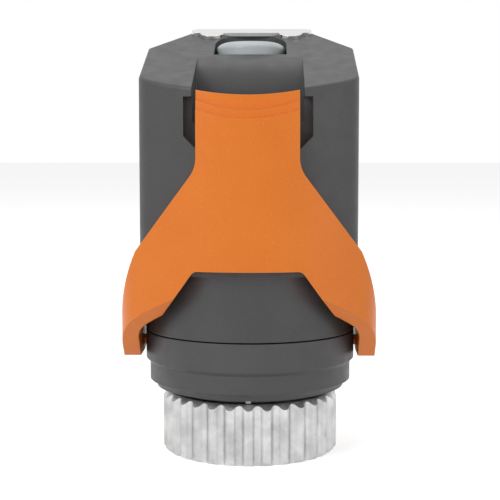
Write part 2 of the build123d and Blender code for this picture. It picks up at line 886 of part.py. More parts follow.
with BuildPart() as motor_end_cap:
    with BuildSketch(Plane((motor_x, motor_y, can_top))):
        Circle(can_radius)
        Circle(motor_bush_radius, mode=Mode.SUBTRACT)
    extrude(amount=cap_height)
motor_end_cap.part.label = "motor_end_cap"
export_step(motor_end_cap.part, "parts/motor_end_cap.step")

with BuildPart() as motor_brushes:
    with BuildSketch(Plane((motor_x, motor_y, can_top))):
        with Locations((0, commutator_radius + running), (0, -commutator_radius - running)):
            Rectangle(brush_width, 2 * brush_length)
        Circle(commutator_radius + running, mode=Mode.SUBTRACT)
    extrude(amount=-commutator_height)
motor_brushes.part.label = "motor_brushes"
export_step(motor_brushes.part, "parts/motor_brushes.step")

with BuildPart() as motor_terminals:
    with BuildSketch(Plane((motor_x, motor_y, motor_top))):
        with Locations((terminal_place, 0), (-terminal_place, 0)):
            Rectangle(terminal_thickness, terminal_width)
    extrude(amount=terminal_height)
motor_terminals.part.label = "motor_terminals"
export_step(motor_terminals.part, "parts/motor_terminals.step")

# ---------------------------------------------------------------- spindle, plunger tip and indicator
spindle_bottom = tip_height + tip_thickness
with BuildPart() as spindle:
    with BuildSketch(Plane.XY.offset(spindle_bottom)):
        Circle(spindle_radius)
    extrude(amount=spindle_top - spindle_bottom)
    with BuildSketch(Plane.XY.offset(spindle_bottom)):
        for side in (1, -1):
            with Locations((0, side * spindle_flats / 2)):
                Rectangle(
                    2 * spindle_radius,
                    spindle_radius,
                    align=(Align.CENTER, Align.MIN if side == 1 else Align.MAX),
                )
    extrude(amount=plate_top + stroke + play - spindle_bottom, mode=Mode.SUBTRACT)
spindle.part.label = "spindle"
export_step(spindle.part, "parts/spindle.step")

with BuildPart() as plunger_tip:
    with BuildSketch(Plane.XY.offset(tip_height)):
        Circle(tip_radius)
    extrude(amount=tip_thickness)
    fillet(plunger_tip.edges().group_by(Axis.Z)[0], radius=tip_thickness / 4)
plunger_tip.part.label = "plunger_tip"
export_step(plunger_tip.part, "parts/plunger_tip.step")

with BuildPart() as indicator_rod:
    with BuildSketch(Plane.XY.offset(spindle_top)):
        Circle(rod_foot)
    extrude(amount=rod_foot)
    with BuildSketch(Plane.XY.offset(spindle_top)):
        Circle(rod_radius)
    extrude(amount=indicator_bottom - spindle_top)
    with BuildSketch(Plane.XY.offset(arm_bottom)):
        Rectangle(2 * rod_radius, indicator_place, align=(Align.CENTER, Align.MIN))
        with Locations((0, indicator_place)):
            Circle(rod_foot)
    extrude(amount=arm_height)
indicator_rod.part.label = "indicator_rod"
export_step(indicator_rod.part, "parts/indicator_rod.step")

with BuildPart() as position_indicator:
    with BuildSketch(Plane((0, indicator_place, 0), x_dir=(1, 0, 0), z_dir=(0, -1, 0))):
        with BuildLine():
            rim = indicator_top - indicator_dome
            Polyline(
                (0, indicator_top - indicator_wall),
                (0, indicator_top),
                (indicator_radius - 2 * indicator_dome, indicator_top),
            )
            EllipticalCenterArc(
                (indicator_radius - 2 * indicator_dome, rim),
                2 * indicator_dome,
                indicator_dome,
                start_angle=0,
                arc_size=90,
            )
            Polyline(
                (indicator_radius, rim),
                (indicator_radius, indicator_bottom),
                (0, indicator_bottom),
                (0, indicator_bottom + indicator_wall),
                (indicator_radius - indicator_wall, indicator_bottom + indicator_wall),
                (indicator_radius - indicator_wall, indicator_top - indicator_dome - indicator_wall),
                (0, indicator_top - indicator_dome - indicator_wall),
                (0, indicator_top - indicator_wall),
            )
        make_face()
    revolve(axis=Axis((0, indicator_place, 0), (0, 0, 1)))
position_indicator.part.label = "position_indicator"
export_step(position_indicator.part, "parts/position_indicator.step")

# ---------------------------------------------------------------- circuit board
with BuildPart() as circuit_board:
    with BuildSketch(Plane.XZ.offset(board_place - board_thickness / 2)):
        with Locations((0, top_plate_top)):
            Rectangle(2 * board_half_width, board_height, align=(Align.CENTER, Align.MIN))
    extrude(amount=board_thickness)
circuit_board.part.label = "circuit_board"
export_step(circuit_board.part, "parts/circuit_board.step")

with BuildPart() as control_chip:
    with BuildSketch(Plane.XZ.offset(board_place - board_thickness / 2)):
        with Locations((0, top_plate_top + chip_height)):
            Rectangle(chip_size, chip_size)
    extrude(amount=-chip_thickness)
control_chip.part.label = "control_chip"
export_step(control_chip.part, "parts/control_chip.step")

with BuildPart() as board_capacitor:
    with BuildSketch(Plane.XZ.offset(board_place - board_thickness / 2)):
        with Locations((capacitor_place, top_plate_top + chip_height)):
            Circle(capacitor_radius)
    extrude(amount=-capacitor_length)
board_capacitor.part.label = "board_capacitor"
export_step(board_capacitor.part, "parts/board_capacitor.step")

with BuildPart() as board_header:
    with BuildSketch(Plane.XZ.offset(board_place - board_thickness / 2)):
        with Locations((capacitor_place, top_plate_top + play)):
            Rectangle(header_width, header_height, align=(Align.CENTER, Align.MIN))
    extrude(amount=-header_depth)
board_header.part.label = "board_header"
export_step(board_header.part, "parts/board_header.step")

# ---------------------------------------------------------------- cable inlet
flange_back = inner_back - inlet_gasket_thickness
with BuildPart() as inlet_socket:
    with BuildSketch(Plane.XZ.offset(-body_back)):
        with Locations((0, inlet_centre)):
            Rectangle(2 * inlet_half_width, 2 * inlet_half_height)
    extrude(amount=inlet_depth)
    with BuildSketch(Plane.XZ.offset(-flange_back)):
        with Locations((0, inlet_centre)):
            Rectangle(
                2 * (inlet_half_width + inlet_flange), 2 * (inlet_half_height + inlet_flange)
            )
    extrude(amount=inlet_flange_thickness)
    with BuildSketch(Plane.XY.offset(top_plate_top)):
        with Locations((0, inlet_front)):
            Rectangle(2 * foot_half_width, foot_depth, align=(Align.CENTER, Align.MIN))
    extrude(amount=inlet_centre - inlet_half_height - top_plate_top)
    with BuildSketch(Plane.XZ.offset(-body_back)):
        with Locations((0, inlet_centre)):
            Rectangle(
                2 * (inlet_half_width - inlet_wall), 2 * (inlet_half_height - inlet_wall)
            )
    extrude(amount=inlet_depth - inlet_floor, mode=Mode.SUBTRACT)
    with BuildSketch(Plane.XZ.offset(-body_back)):
        with Locations((contact_spacing / 2, inlet_centre), (-contact_spacing / 2, inlet_centre)):
            Circle(contact_radius)
    extrude(amount=inlet_depth, mode=Mode.SUBTRACT)
inlet_socket.part.label = "inlet_socket"
export_step(inlet_socket.part, "parts/inlet_socket.step")

with BuildPart() as inlet_contacts:
    with BuildSketch(Plane.XZ.offset(-inlet_front)):
        with Locations((contact_spacing / 2, inlet_centre), (-contact_spacing / 2, inlet_centre)):
            Circle(contact_radius)
    extrude(amount=-contact_length)
inlet_contacts.part.label = "inlet_contacts"
export_step(inlet_contacts.part, "parts/inlet_contacts.step")

with BuildPart() as inlet_gasket:
    with BuildSketch(Plane.XZ.offset(-inner_back)):
        with Locations((0, inlet_centre)):
            Rectangle(
                2 * (inlet_half_width + inlet_flange), 2 * (inlet_half_height + inlet_flange)
            )
            Rectangle(2 * inlet_half_width, 2 * inlet_half_height, mode=Mode.SUBTRACT)
    extrude(amount=inlet_gasket_thickness)
inlet_gasket.part.label = "inlet_gasket"
export_step(inlet_gasket.part, "parts/inlet_gasket.step")

# ---------------------------------------------------------------- clamp lever
lever_bow_centre = lever_front_arc - lever_front
lever_side_start = lever_bow_centre - (lever_front_arc**2 - arm_outer**2) ** 0.5
inner_arc = front_arc_radius + lever_gap
inner_bow_centre = inner_arc - body_front - lever_gap
inner_side_start = inner_bow_centre - (inner_arc**2 - arm_inner**2) ** 0.5
arm_bottom_height = pivot_height - arm_end_radius

with BuildSketch() as lever_plan:
    with BuildLine():
        ThreePointArc(
            (-arm_outer, lever_side_start), (0, -lever_front), (arm_outer, lever_side_start)
        )
        Polyline(
            (arm_outer, lever_side_start),
            (arm_outer, arm_end_radius),
            (-arm_outer, arm_end_radius),
            (-arm_outer, lever_side_start),
        )
    make_face()
    fillet(lever_plan.vertices().group_by(Axis.Y)[0], radius=arm_corner)

lip_cutters = []
for depth, radius in (
    (lip_step, lip_arc),
    (lip_step + lip_bevel, lip_arc - lip_band),
):
    with BuildPart() as lip_cutter:
        with BuildSketch(Plane.XZ):
            with Locations((0, lip_bottom + lip_arc)):
                Circle(radius)
        extrude(amount=2 * lever_front)
        with BuildSketch(Plane.XY.offset(arm_bottom_height)):
            add(lever_plan.sketch)
            offset(amount=-depth)
        extrude(amount=2 * lever_top, mode=Mode.SUBTRACT)
    lip_cutters.append(lip_cutter.part)

with BuildPart() as clamp_lever:
    # Plan: bowed front with rounded corners and straight arms, hollow inside.
    with BuildSketch(Plane.XY.offset(arm_bottom_height)):
        add(lever_plan.sketch)
    extrude(amount=lever_top - arm_bottom_height)
    with BuildSketch(Plane.XY.offset(arm_bottom_height)) as lever_inner:
        with BuildLine():
            ThreePointArc(
                (-arm_inner, inner_side_start),
                (0, -body_front - lever_gap),
                (arm_inner, inner_side_start),
            )
            Polyline(
                (arm_inner, inner_side_start),
                (arm_inner, 2 * arm_end_radius),
                (-arm_inner, 2 * arm_end_radius),
                (-arm_inner, inner_side_start),
            )
        make_face()
        fillet(lever_inner.vertices().group_by(Axis.Y)[0], radius=front_corner)
    extrude(amount=lever_top - arm_bottom_height, mode=Mode.SUBTRACT)
    # Front view: narrow neck, flaring skirt and two arms.
    with BuildSketch(Plane.XZ) as lever_face:
        with BuildLine():
            ThreePointArc(
                (-neck_half_width, lever_top),
                (0, lever_top - top_droop),
                (neck_half_width, lever_top),
            )
            Polyline(
                (neck_half_width, lever_top), (neck_half_width, neck_bottom), (arm_inner, skirt_top)
            )
            ThreePointArc(
                (arm_inner, skirt_top),
                (flare_middle_width, flare_middle_height),
                (arm_outer, flare_end_height),
            )
            Polyline(
                (arm_outer, flare_end_height),
                (arm_outer, arm_bottom_height),
                (arm_inner - lug_height, arm_bottom_height),
                (arm_inner - lug_height, pivot_height - lug_reach),
                (arch_end_width, arch_end_height),
                (arch_half_width, arch_height),
                (0, arch_height),
            )
            mirror(about=Plane.YZ)
        make_face()
        fillet(
            lever_face.vertices().filter_by(lambda corner: abs(corner.Y - neck_bottom) < play),
            radius=neck_fillet,
        )
        fillet(
            lever_face.vertices().filter_by(
                lambda corner: abs(corner.Y - arch_height) < play and abs(corner.X) > play
            ),
            radius=arch_fillet,
        )
    extrude(amount=2 * lever_front, both=True, mode=Mode.INTERSECT)
    # Side view: arms end round the pivot, and their front edge is cut back.
    with BuildSketch(Plane.YZ):
        with BuildLine():
            Polyline(
                (-cut_rear, arm_bottom_height),
                (-cut_front, cut_front_height),
                (-cut_front, lever_top),
                (-arm_corner, lever_top),
                (-arm_corner, skirt_top),
                (arm_end_radius, pivot_height + arm_end_radius),
                (arm_end_radius, pivot_height),
            )
            RadiusArc(
                (arm_end_radius, pivot_height), (0, arm_bottom_height), arm_end_radius
            )
            Line((0, arm_bottom_height), (-cut_rear, arm_bottom_height))
        make_face()
    extrude(amount=2 * arm_outer, both=True, mode=Mode.INTERSECT)
    # Grip lip: the face steps back in two curved bands below the top edge.
    for cutter in lip_cutters:
        add(cutter, mode=Mode.SUBTRACT)
    # Blind bores for the trunnions, and lugs that reach into the base ring's notches.
    for side in (1, -1):
        with BuildSketch(Plane.YZ.offset(side * arm_inner)):
            with Locations((0, pivot_height)):
                Circle(trunnion_radius + running)
        extrude(amount=side * (trunnion_length - lever_gap + play), mode=Mode.SUBTRACT)
        with BuildSketch(Plane.YZ.offset(side * (arm_inner - lug_height))):
            with Locations((0, pivot_height - lug_reach)):
                Circle(lug_radius)
        extrude(amount=side * (lug_height + lever_thickness / 2))
clamp_lever.part.label = "clamp_lever"
export_step(clamp_lever.part, "parts/clamp_lever.step")

# ---------------------------------------------------------------- clip on the roof
clip_plane = Plane(
    origin=(0, clip_place, roof_height(clip_place)), x_dir=(1, 0, 0), z_dir=roof_plane.z_dir
)
with BuildPart() as roof_clip:
    with BuildSketch(clip_plane):
        SlotOverall(2 * clip_half_width, clip_width)
        with Locations((lobe_place, -lobe_forward), (-lobe_place, -lobe_forward)):
            Circle(lobe_radius)
    extrude(amount=clip_thickness)
roof_clip.part.label = "roof_clip"
export_step(roof_clip.part, "parts/roof_clip.step")
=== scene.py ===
import logging
import math
from abc import ABC, abstractmethod
from dataclasses import dataclass
from enum import Enum
from typing import Dict, List, Sequence, Tuple, Union

import bpy
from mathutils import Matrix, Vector

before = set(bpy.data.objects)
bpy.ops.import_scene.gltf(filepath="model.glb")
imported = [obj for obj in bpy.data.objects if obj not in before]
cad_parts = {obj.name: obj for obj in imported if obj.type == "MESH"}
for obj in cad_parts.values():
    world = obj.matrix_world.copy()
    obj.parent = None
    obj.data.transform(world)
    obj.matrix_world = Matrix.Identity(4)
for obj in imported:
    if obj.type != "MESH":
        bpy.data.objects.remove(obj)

LOG = logging.getLogger("actuator_head")

MM = 0.001
"""One millimetre in the scene's metres."""

Triple = Tuple[float, float, float]
Colour = Triple
Span = Tuple[float, float]
Tint = Union[Colour, bpy.types.NodeSocket]

FULL: Span = (0.0, 1.0)
"""A factor's whole range."""
BLEND_BAND: Span = (0.35, 0.65)
"""Values of noise over which one colour fades into another."""
GLOSS_BAND: Span = (0.3, 0.7)
"""Values of noise over which a finish goes through its roughness."""
PEAK_BAND: Span = (0.5, 0.75)
"""Values of noise over which a colour shows on the peaks alone."""
EDGE_COSINES: Span = (0.98, 0.75)
"""Cosines between the rounded and the true normal, where an edge starts and where it is full."""
FINE_ROUNDING = 0.1 * MM
"""Width over which the edges of small pieces look rounded."""


class Slot(Enum):
    """Finishes of the actuator head, by the name that its record gives them."""

    HOUSING = "housing_grey"
    BASE = "base_grey"
    LEVER = "lever_orange"
    NUT = "nut_metal"
    # The near-black neck finish is painted shade: the dark band between ring and nut is shadow.
    NECK = "neck_black"
    INDICATOR = "indicator_grey"
    SEAL = "seal_rubber"
    INNER = "inner_plastic"
    SCREW = "screw_steel"
    BUSH = "bush_bronze"
    GEAR = "gear_plastic"
    CORE = "core_steel"
    COPPER = "copper"
    CAN = "can_steel"
    MAGNET = "magnet_black"
    SPINDLE = "spindle_steel"
    BOARD = "board_green"
    CLIP = "clip_chrome"


# ------------------------------------------------------------------ shader nodes
def blend_ends(node: bpy.types.Node) -> Tuple[bpy.types.NodeSocket, bpy.types.NodeSocket]:
    """Give the two colour inputs of a mix node, which repeats the names for other kinds."""
    first, second = (socket for socket in node.inputs if socket.type == "RGBA")
    return first, second


class ShaderSheet:
    """One material's node tree, built up node by node."""

    def __init__(self, name: str) -> None:
        """Start a material with a shader joined to its output.

        Args:
            name: Name of the material.
        """
        self.material = bpy.data.materials.new(name)
        self.material.use_nodes = True
        self.tree = self.material.node_tree
        self.tree.nodes.clear()
        self.shader = self.tree.nodes.new("ShaderNodeBsdfPrincipled")
        output = self.tree.nodes.new("ShaderNodeOutputMaterial")
        self.join(self.shader.outputs["BSDF"], output.inputs["Surface"])

    def join(self, source: bpy.types.NodeSocket, target: bpy.types.NodeSocket) -> None:
        """Join an output socket to an input socket."""
        self.tree.links.new(source, target)

    def place(self, stretch: Triple = (1.0, 1.0, 1.0)) -> bpy.types.NodeSocket:
        """Give the point being shaded in the part's own metres.

        Args:
            stretch: Factors along X, Y and Z, to draw a pattern out.

        Returns:
            A vector output.
        """
        texture = self.tree.nodes.new("ShaderNodeTexCoord")
        mapping = self.tree.nodes.new("ShaderNodeMapping")
        mapping.inputs["Scale"].default_value = stretch
        self.join(texture.outputs["Object"], mapping.inputs["Vector"])
        return mapping.outputs["Vector"]

    def noise(
        self,
        size: float,
        detail: float,
        stretch: Triple = (1.0, 1.0, 1.0),
    ) -> bpy.types.NodeSocket:
        """Add cloudy noise.

        Args:
            size: Width of one cloud in metres.
            detail: Octaves of finer noise.
            stretch: Factors along X, Y and Z.

        Returns:
            A value output round 0.5.
        """
        node = self.tree.nodes.new("ShaderNodeTexNoise")
        node.inputs["Scale"].default_value = 1.0 / size
        node.inputs["Detail"].default_value = detail
        self.join(self.place(stretch), node.inputs["Vector"])
        return node.outputs["Fac"]

    def cells(self, size: float) -> bpy.types.NodeSocket:
        """Add rounded cells and give the distance from their centres.

        Args:
            size: Width of one cell in metres.

        Returns:
            A value output.
        """
        node = self.tree.nodes.new("ShaderNodeTexVoronoi")
        node.inputs["Scale"].default_value = 1.0 / size
        self.join(self.place(), node.inputs["Vector"])
        return node.outputs["Distance"]

    def spread(self, source: bpy.types.NodeSocket, start: Span, end: Span) -> bpy.types.NodeSocket:
        """Map a value from one range to another, held at both ends.

        Args:
            source: The value.
            start: Range that the value comes in.
            end: Range that it leaves in.

        Returns:
            A value output.
        """
        node = self.tree.nodes.new("ShaderNodeMapRange")
        node.inputs["From Min"].default_value = start[0]
        node.inputs["From Max"].default_value = start[1]
        node.inputs["To Min"].default_value = end[0]
        node.inputs["To Max"].default_value = end[1]
        self.join(source, node.inputs["Value"])
        return node.outputs["Result"]

    def mix(self, factor: bpy.types.NodeSocket, first: Tint, second: Tint) -> bpy.types.NodeSocket:
        """Mix two colours by a factor.

        Args:
            factor: Share of the second colour.
            first: A colour, or the output of another node.
            second: A colour, or the output of another node.

        Returns:
            A colour output.
        """
        node = self.tree.nodes.new("ShaderNodeMix")
        node.data_type = "RGBA"
        self.join(factor, node.inputs["Factor"])
        for colour, socket in zip((first, second), blend_ends(node)):
            if isinstance(colour, bpy.types.NodeSocket):
                self.join(colour, socket)
            else:
                socket.default_value = (*colour, 1.0)
        return next(socket for socket in node.outputs if socket.type == "RGBA")

    def rounded_normal(self, radius: float, samples: int) -> bpy.types.NodeSocket:
        """Give the normal as it would be if the edges were rounded.

        Args:
            radius: Width of the rounding in metres.
            samples: Rays that look for the edge.

        Returns:
            A vector output.
        """
        node = self.tree.nodes.new("ShaderNodeBevel")
        node.samples = samples
        node.inputs["Radius"].default_value = radius
        return node.outputs["Normal"]

    def edge_mask(self, radius: float) -> bpy.types.NodeSocket:
        """Mark the edges, where a rounded normal leaves the true one.

        The mask is the cosine between the two normals, mapped from its two edge values to 0
        and 1.

        Args:
            radius: Width of the rounding in metres.

        Returns:
            A value output: 0 on flats and up to 1 on an edge.
        """
        true = self.tree.nodes.new("ShaderNodeNewGeometry")
        product = self.tree.nodes.new("ShaderNodeVectorMath")
        product.operation = "DOT_PRODUCT"
        self.join(self.rounded_normal(radius, samples=4), product.inputs[0])
        self.join(true.outputs["Normal"], product.inputs[1])
        return self.spread(product.outputs["Value"], EDGE_COSINES, FULL)

    def paint(self, colour: bpy.types.NodeSocket) -> None:
        """Drive the shader's colour by a colour output."""
        self.join(colour, self.shader.inputs["Base Color"])

    def roughen(self, source: bpy.types.NodeSocket, roughness: Span) -> None:
        """Drive the shader's roughness by noise, between its lowest and highest value."""
        self.join(self.spread(source, GLOSS_BAND, roughness), self.shader.inputs["Roughness"])

    def relief(
        self,
        heights: Sequence[Tuple[bpy.types.NodeSocket, float]],
        rounding: float,
    ) -> None:
        """Give the shader its fine relief over rounded edges.

        Args:
            heights: Height patterns, each with its depth in metres.
            rounding: Width in metres over which edges look rounded.
        """
        normal = self.rounded_normal(rounding, samples=6)
        for height, depth in heights:
            bump = self.tree.nodes.new("ShaderNodeBump")
            bump.inputs["Distance"].default_value = depth
            self.join(height, bump.inputs["Height"])
            self.join(normal, bump.inputs["Normal"])
            normal = bump.outputs["Normal"]
        self.join(normal, self.shader.inputs["Normal"])


# ------------------------------------------------------------------ finishes
class Finish(ABC):
    """A surface that can be built as a material."""

    @abstractmethod
    def material(self, name: str) -> bpy.types.Material:
        """Build the material under the given name."""


@dataclass(frozen=True)
class MouldedPlastic(Finish):
    """Moulded plastic with a fine spark-eroded grain and edges polished by handling.

    Attributes:
        colour: Colour of the flats.
        shade: Colour of the darker clouds.
        worn: Colour of the specks and along worn edges.
        roughness: Lowest and highest roughness.
        grain: Width of one grain.
        depth: Depth of the grain.
        rounding: Width over which edges look rounded.
        cloud: Width of one cloud.
        cloud_depth: Depth of the clouds, in grain depths.
        smear: Width of one patch of even gloss.
        speck: Width of one speck, in grains.
        speck_band: Values of noise over which the specks fade in.
        speck_share: Strength of the specks.
        wear_share: Strength of the worn edges.
    """

    colour: Colour
    shade: Colour
    worn: Colour
    roughness: Span = (0.42, 0.55)
    grain: float = 0.22 * MM
    depth: float = 0.012 * MM
    rounding: float = 0.25 * MM
    cloud: float = 9.0 * MM
    cloud_depth: float = 3.0
    smear: float = 3.0 * MM
    speck: float = 1.8
    speck_band: Span = (0.55, 0.8)
    speck_share: float = 0.35
    wear_share: float = 0.6

    def material(self, name: str) -> bpy.types.Material:
        """Build the material.

        Args:
            name: Name of the material.

        Returns:
            The new material.
        """
        sheet = ShaderSheet(name)
        cloud = sheet.noise(self.cloud, detail=4.0)
        speck = sheet.noise(self.grain * self.speck, detail=2.0)
        body = sheet.mix(sheet.spread(cloud, BLEND_BAND, FULL), self.colour, self.shade)
        specked = sheet.spread(speck, self.speck_band, (0.0, self.speck_share))
        edge = sheet.spread(sheet.edge_mask(self.rounding), FULL, (0.0, self.wear_share))
        sheet.paint(sheet.mix(edge, sheet.mix(specked, body, self.worn), self.worn))
        sheet.roughen(sheet.noise(self.smear, detail=5.0), self.roughness)
        sheet.relief(
            ((sheet.cells(self.grain), self.depth), (cloud, self.cloud_depth * self.depth)),
            self.rounding,
        )
        return sheet.material


@dataclass(frozen=True)
class CastMetal(Finish):
    """Die-cast metal, tumbled and frosted, with fine pits.

    Attributes:
        colour: Colour of the metal.
        shade: Colour of the duller clouds and of the pits.
        roughness: Lowest and highest roughness.
        grain: Width of one grain of the frosting.
        depth: Depth of the frosting.
        rounding: Width over which edges look rounded.
        cloud: Width of one cloud.
        smear: Width of one patch of even gloss.
        pit_band: Values of noise over which the pits fade out.
        pit_share: Strength of the pits.
    """

    colour: Colour
    shade: Colour
    roughness: Span = (0.34, 0.55)
    grain: float = 0.3 * MM
    depth: float = 0.05 * MM
    rounding: float = 0.2 * MM
    cloud: float = 4.0 * MM
    smear: float = 1.2 * MM
    pit_band: Span = (0.3, 0.45)
    pit_share: float = 0.5

    def material(self, name: str) -> bpy.types.Material:
        """Build the material.

        Args:
            name: Name of the material.

        Returns:
            The new material.
        """
        sheet = ShaderSheet(name)
        cloud = sheet.noise(self.cloud, detail=5.0)
        frost = sheet.noise(self.grain, detail=3.0)
        dull = sheet.mix(sheet.spread(cloud, BLEND_BAND, FULL), self.colour, self.shade)
        pits = sheet.spread(frost, self.pit_band, (self.pit_share, 0.0))
        sheet.paint(sheet.mix(pits, dull, self.shade))
        sheet.shader.inputs["Metallic"].default_value = 1.0
        sheet.roughen(sheet.noise(self.smear, detail=4.0), self.roughness)
        sheet.relief(((frost, self.depth), (cloud, self.depth)), self.rounding)
        return sheet.material


@dataclass(frozen=True)
class WorkedMetal(Finish):
    """Turned, drawn or stamped metal with fine tool lines.

    Attributes:
        colour: Colour of the metal.
        shade: Colour of the duller lines and clouds.
        roughness: Lowest and highest roughness.
        stretch: Factors that draw the tool lines out along an axis.
        line: Width of one tool line.
        depth: Depth of the tool lines.
        line_share: Strength of the lines' colour.
        cloud: Width of one cloud.
        cloud_share: Strength of the clouds' colour.
    """

    colour: Colour
    shade: Colour
    roughness: Span = (0.22, 0.4)
    stretch: Triple = (0.08, 0.08, 1.0)
    line: float = 0.12 * MM
    depth: float = 0.004 * MM
    line_share: float = 0.7
    cloud: float = 3.0 * MM
    cloud_share: float = 0.5

    def material(self, name: str) -> bpy.types.Material:
        """Build the material.

        Args:
            name: Name of the material.

        Returns:
            The new material.
        """
        sheet = ShaderSheet(name)
        lines = sheet.noise(self.line, detail=2.0, stretch=self.stretch)
        cloud = sheet.noise(self.cloud, detail=4.0)
        lined = sheet.spread(lines, BLEND_BAND, (0.0, self.line_share))
        clouded = sheet.spread(cloud, PEAK_BAND, (0.0, self.cloud_share))
        drawn = sheet.mix(lined, self.colour, self.shade)
        sheet.paint(sheet.mix(clouded, drawn, self.shade))
        sheet.shader.inputs["Metallic"].default_value = 1.0
        sheet.roughen(cloud, self.roughness)
        sheet.relief(((lines, self.depth),), FINE_ROUNDING)
        return sheet.material


@dataclass(frozen=True)
class Rubber(Finish):
    """Soft moulded seal with a dusty bloom.

    Attributes:
        colour: Colour of the rubber.
        bloom: Colour of the dust on it.
        roughness: Lowest and highest roughness.
        dust: Width of one patch of dust.
        dust_share: Strength of the dust's colour.
        grain: Width of one grain.
        depth: Depth of the grain.
    """

    colour: Colour
    bloom: Colour
    roughness: Span = (0.65, 0.85)
    dust: float = 1.5 * MM
    dust_share: float = 0.6
    grain: float = 0.2 * MM
    depth: float = 0.01 * MM

    def material(self, name: str) -> bpy.types.Material:
        """Build the material.

        Args:
            name: Name of the material.

        Returns:
            The new material.
        """
        sheet = ShaderSheet(name)
        dust = sheet.noise(self.dust, detail=5.0)
        dusted = sheet.spread(dust, PEAK_BAND, (0.0, self.dust_share))
        sheet.paint(sheet.mix(dusted, self.colour, self.bloom))
        sheet.roughen(dust, self.roughness)
        sheet.relief(((sheet.noise(self.grain, detail=2.0), self.depth),), FINE_ROUNDING)
        return sheet.material


@dataclass(frozen=True)
class Laminate(Finish):
    """Circuit board: woven glass under a coloured mask, with copper tracks showing through.

    Attributes:
        mask: Colour of the mask.
        track: Colour of the mask over copper.
        roughness: Lowest and highest roughness.
        weave: Width of one thread of the glass cloth.
        depth: Depth of the weave.
        pitch: Width of two fields between tracks.
        track_share: Width of a track, as a share of the pitch.
        dim: Darkest colour of a field, as a share of the mask's.
    """

    mask: Colour
    track: Colour
    roughness: Span = (0.22, 0.38)
    weave: float = 0.4 * MM
    depth: float = 0.01 * MM
    pitch: float = 6.0 * MM
    track_share: float = 0.03
    dim: float = 0.8

    def material(self, name: str) -> bpy.types.Material:
        """Build the material.

        Args:
            name: Name of the material.

        Returns:
            The new material.
        """
        sheet = ShaderSheet(name)
        brick = sheet.tree.nodes.new("ShaderNodeTexBrick")
        brick.inputs["Scale"].default_value = 1.0 / self.pitch
        brick.inputs["Mortar Size"].default_value = self.track_share
        brick.inputs["Color1"].default_value = (*self.mask, 1.0)
        brick.inputs["Color2"].default_value = (*(self.dim * part for part in self.mask), 1.0)
        brick.inputs["Mortar"].default_value = (*self.track, 1.0)
        # The tracks are drawn in the board's own upright plane.
        turned = sheet.tree.nodes.new("ShaderNodeMapping")
        turned.inputs["Rotation"].default_value = (math.radians(90.0), 0.0, 0.0)
        sheet.join(sheet.place(), turned.inputs["Vector"])
        sheet.join(turned.outputs["Vector"], brick.inputs["Vector"])
        sheet.paint(brick.outputs["Color"])
        cloth = sheet.noise(self.weave, detail=1.0)
        sheet.roughen(cloth, self.roughness)
        sheet.relief(((cloth, self.depth),), FINE_ROUNDING)
        return sheet.material


FINISHES: Dict[Slot, Finish] = {
    Slot.HOUSING: MouldedPlastic(
        (0.058, 0.058, 0.060), (0.052, 0.052, 0.054), (0.095, 0.095, 0.097)
    ),
    Slot.BASE: MouldedPlastic(
        (0.068, 0.068, 0.070), (0.061, 0.061, 0.063), (0.105, 0.105, 0.107)
    ),
    Slot.LEVER: MouldedPlastic(
        (0.84, 0.205, 0.006),
        (0.81, 0.19, 0.005),
        (0.93, 0.33, 0.07),
        roughness=(0.34, 0.42),
        depth=0.002 * MM,
        rounding=0.3 * MM,
    ),
    Slot.NUT: CastMetal((0.66, 0.66, 0.66), (0.46, 0.46, 0.46)),
    # Near-black neck colour is painted shade: the dark band between the ring and the nut is
    # shadow, painted here as the neck's colour.
    Slot.NECK: MouldedPlastic((0.012, 0.012, 0.013), (0.009, 0.009, 0.01), (0.03, 0.03, 0.032)),
    Slot.INDICATOR: MouldedPlastic(
        (0.50, 0.545, 0.555),
        (0.47, 0.51, 0.52),
        (0.60, 0.64, 0.65),
        roughness=(0.3, 0.42),
        depth=0.003 * MM,
    ),
    Slot.SEAL: Rubber((0.02, 0.02, 0.02), (0.06, 0.06, 0.058)),
    Slot.INNER: MouldedPlastic((0.60, 0.60, 0.57), (0.55, 0.55, 0.52), (0.68, 0.68, 0.66)),
    Slot.SCREW: WorkedMetal((0.62, 0.62, 0.63), (0.45, 0.45, 0.46)),
    Slot.BUSH: WorkedMetal((0.62, 0.44, 0.22), (0.42, 0.28, 0.13), roughness=(0.3, 0.5)),
    Slot.GEAR: MouldedPlastic(
        (0.80, 0.78, 0.70), (0.76, 0.74, 0.66), (0.86, 0.84, 0.78), roughness=(0.28, 0.4)
    ),
    Slot.CORE: WorkedMetal(
        (0.32, 0.32, 0.33), (0.18, 0.18, 0.19), stretch=(0.02, 0.02, 1.0), line=0.35 * MM
    ),
    Slot.COPPER: WorkedMetal((0.78, 0.40, 0.22), (0.55, 0.26, 0.13)),
    Slot.CAN: WorkedMetal((0.66, 0.66, 0.67), (0.5, 0.5, 0.51), stretch=(1.0, 1.0, 0.05)),
    Slot.MAGNET: Rubber((0.045, 0.045, 0.048), (0.09, 0.09, 0.09)),
    Slot.SPINDLE: WorkedMetal((0.64, 0.64, 0.66), (0.4, 0.4, 0.42), stretch=(0.02, 0.02, 1.0)),
    Slot.BOARD: Laminate((0.02, 0.16, 0.05), (0.07, 0.3, 0.08)),
    Slot.CLIP: WorkedMetal(
        (0.78, 0.77, 0.76),
        (0.66, 0.65, 0.64),
        roughness=(0.12, 0.22),
        stretch=(0.04, 1.0, 1.0),
        depth=0.002 * MM,
    ),
}
"""The finish of each slot in the record."""


class FinishShelf:
    """Holds one built material for each slot, and dresses the frame's nodes with them."""

    def __init__(self) -> None:
        """Build every finish once."""
        self.materials: Dict[Slot, bpy.types.Material] = {
            slot: finish.material(slot.value + "_finish") for slot, finish in FINISHES.items()
        }

    def dress_frame(self) -> None:
        """Give each node of the frame the finish of the slot that the record gives it."""
        for name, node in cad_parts.items():
            for place in node.material_slots:
                slot = Slot(place.material.name.split(".")[0])
                place.material = self.materials[slot]
            LOG.info("%s wears %s", name, [place.material.name for place in node.material_slots])


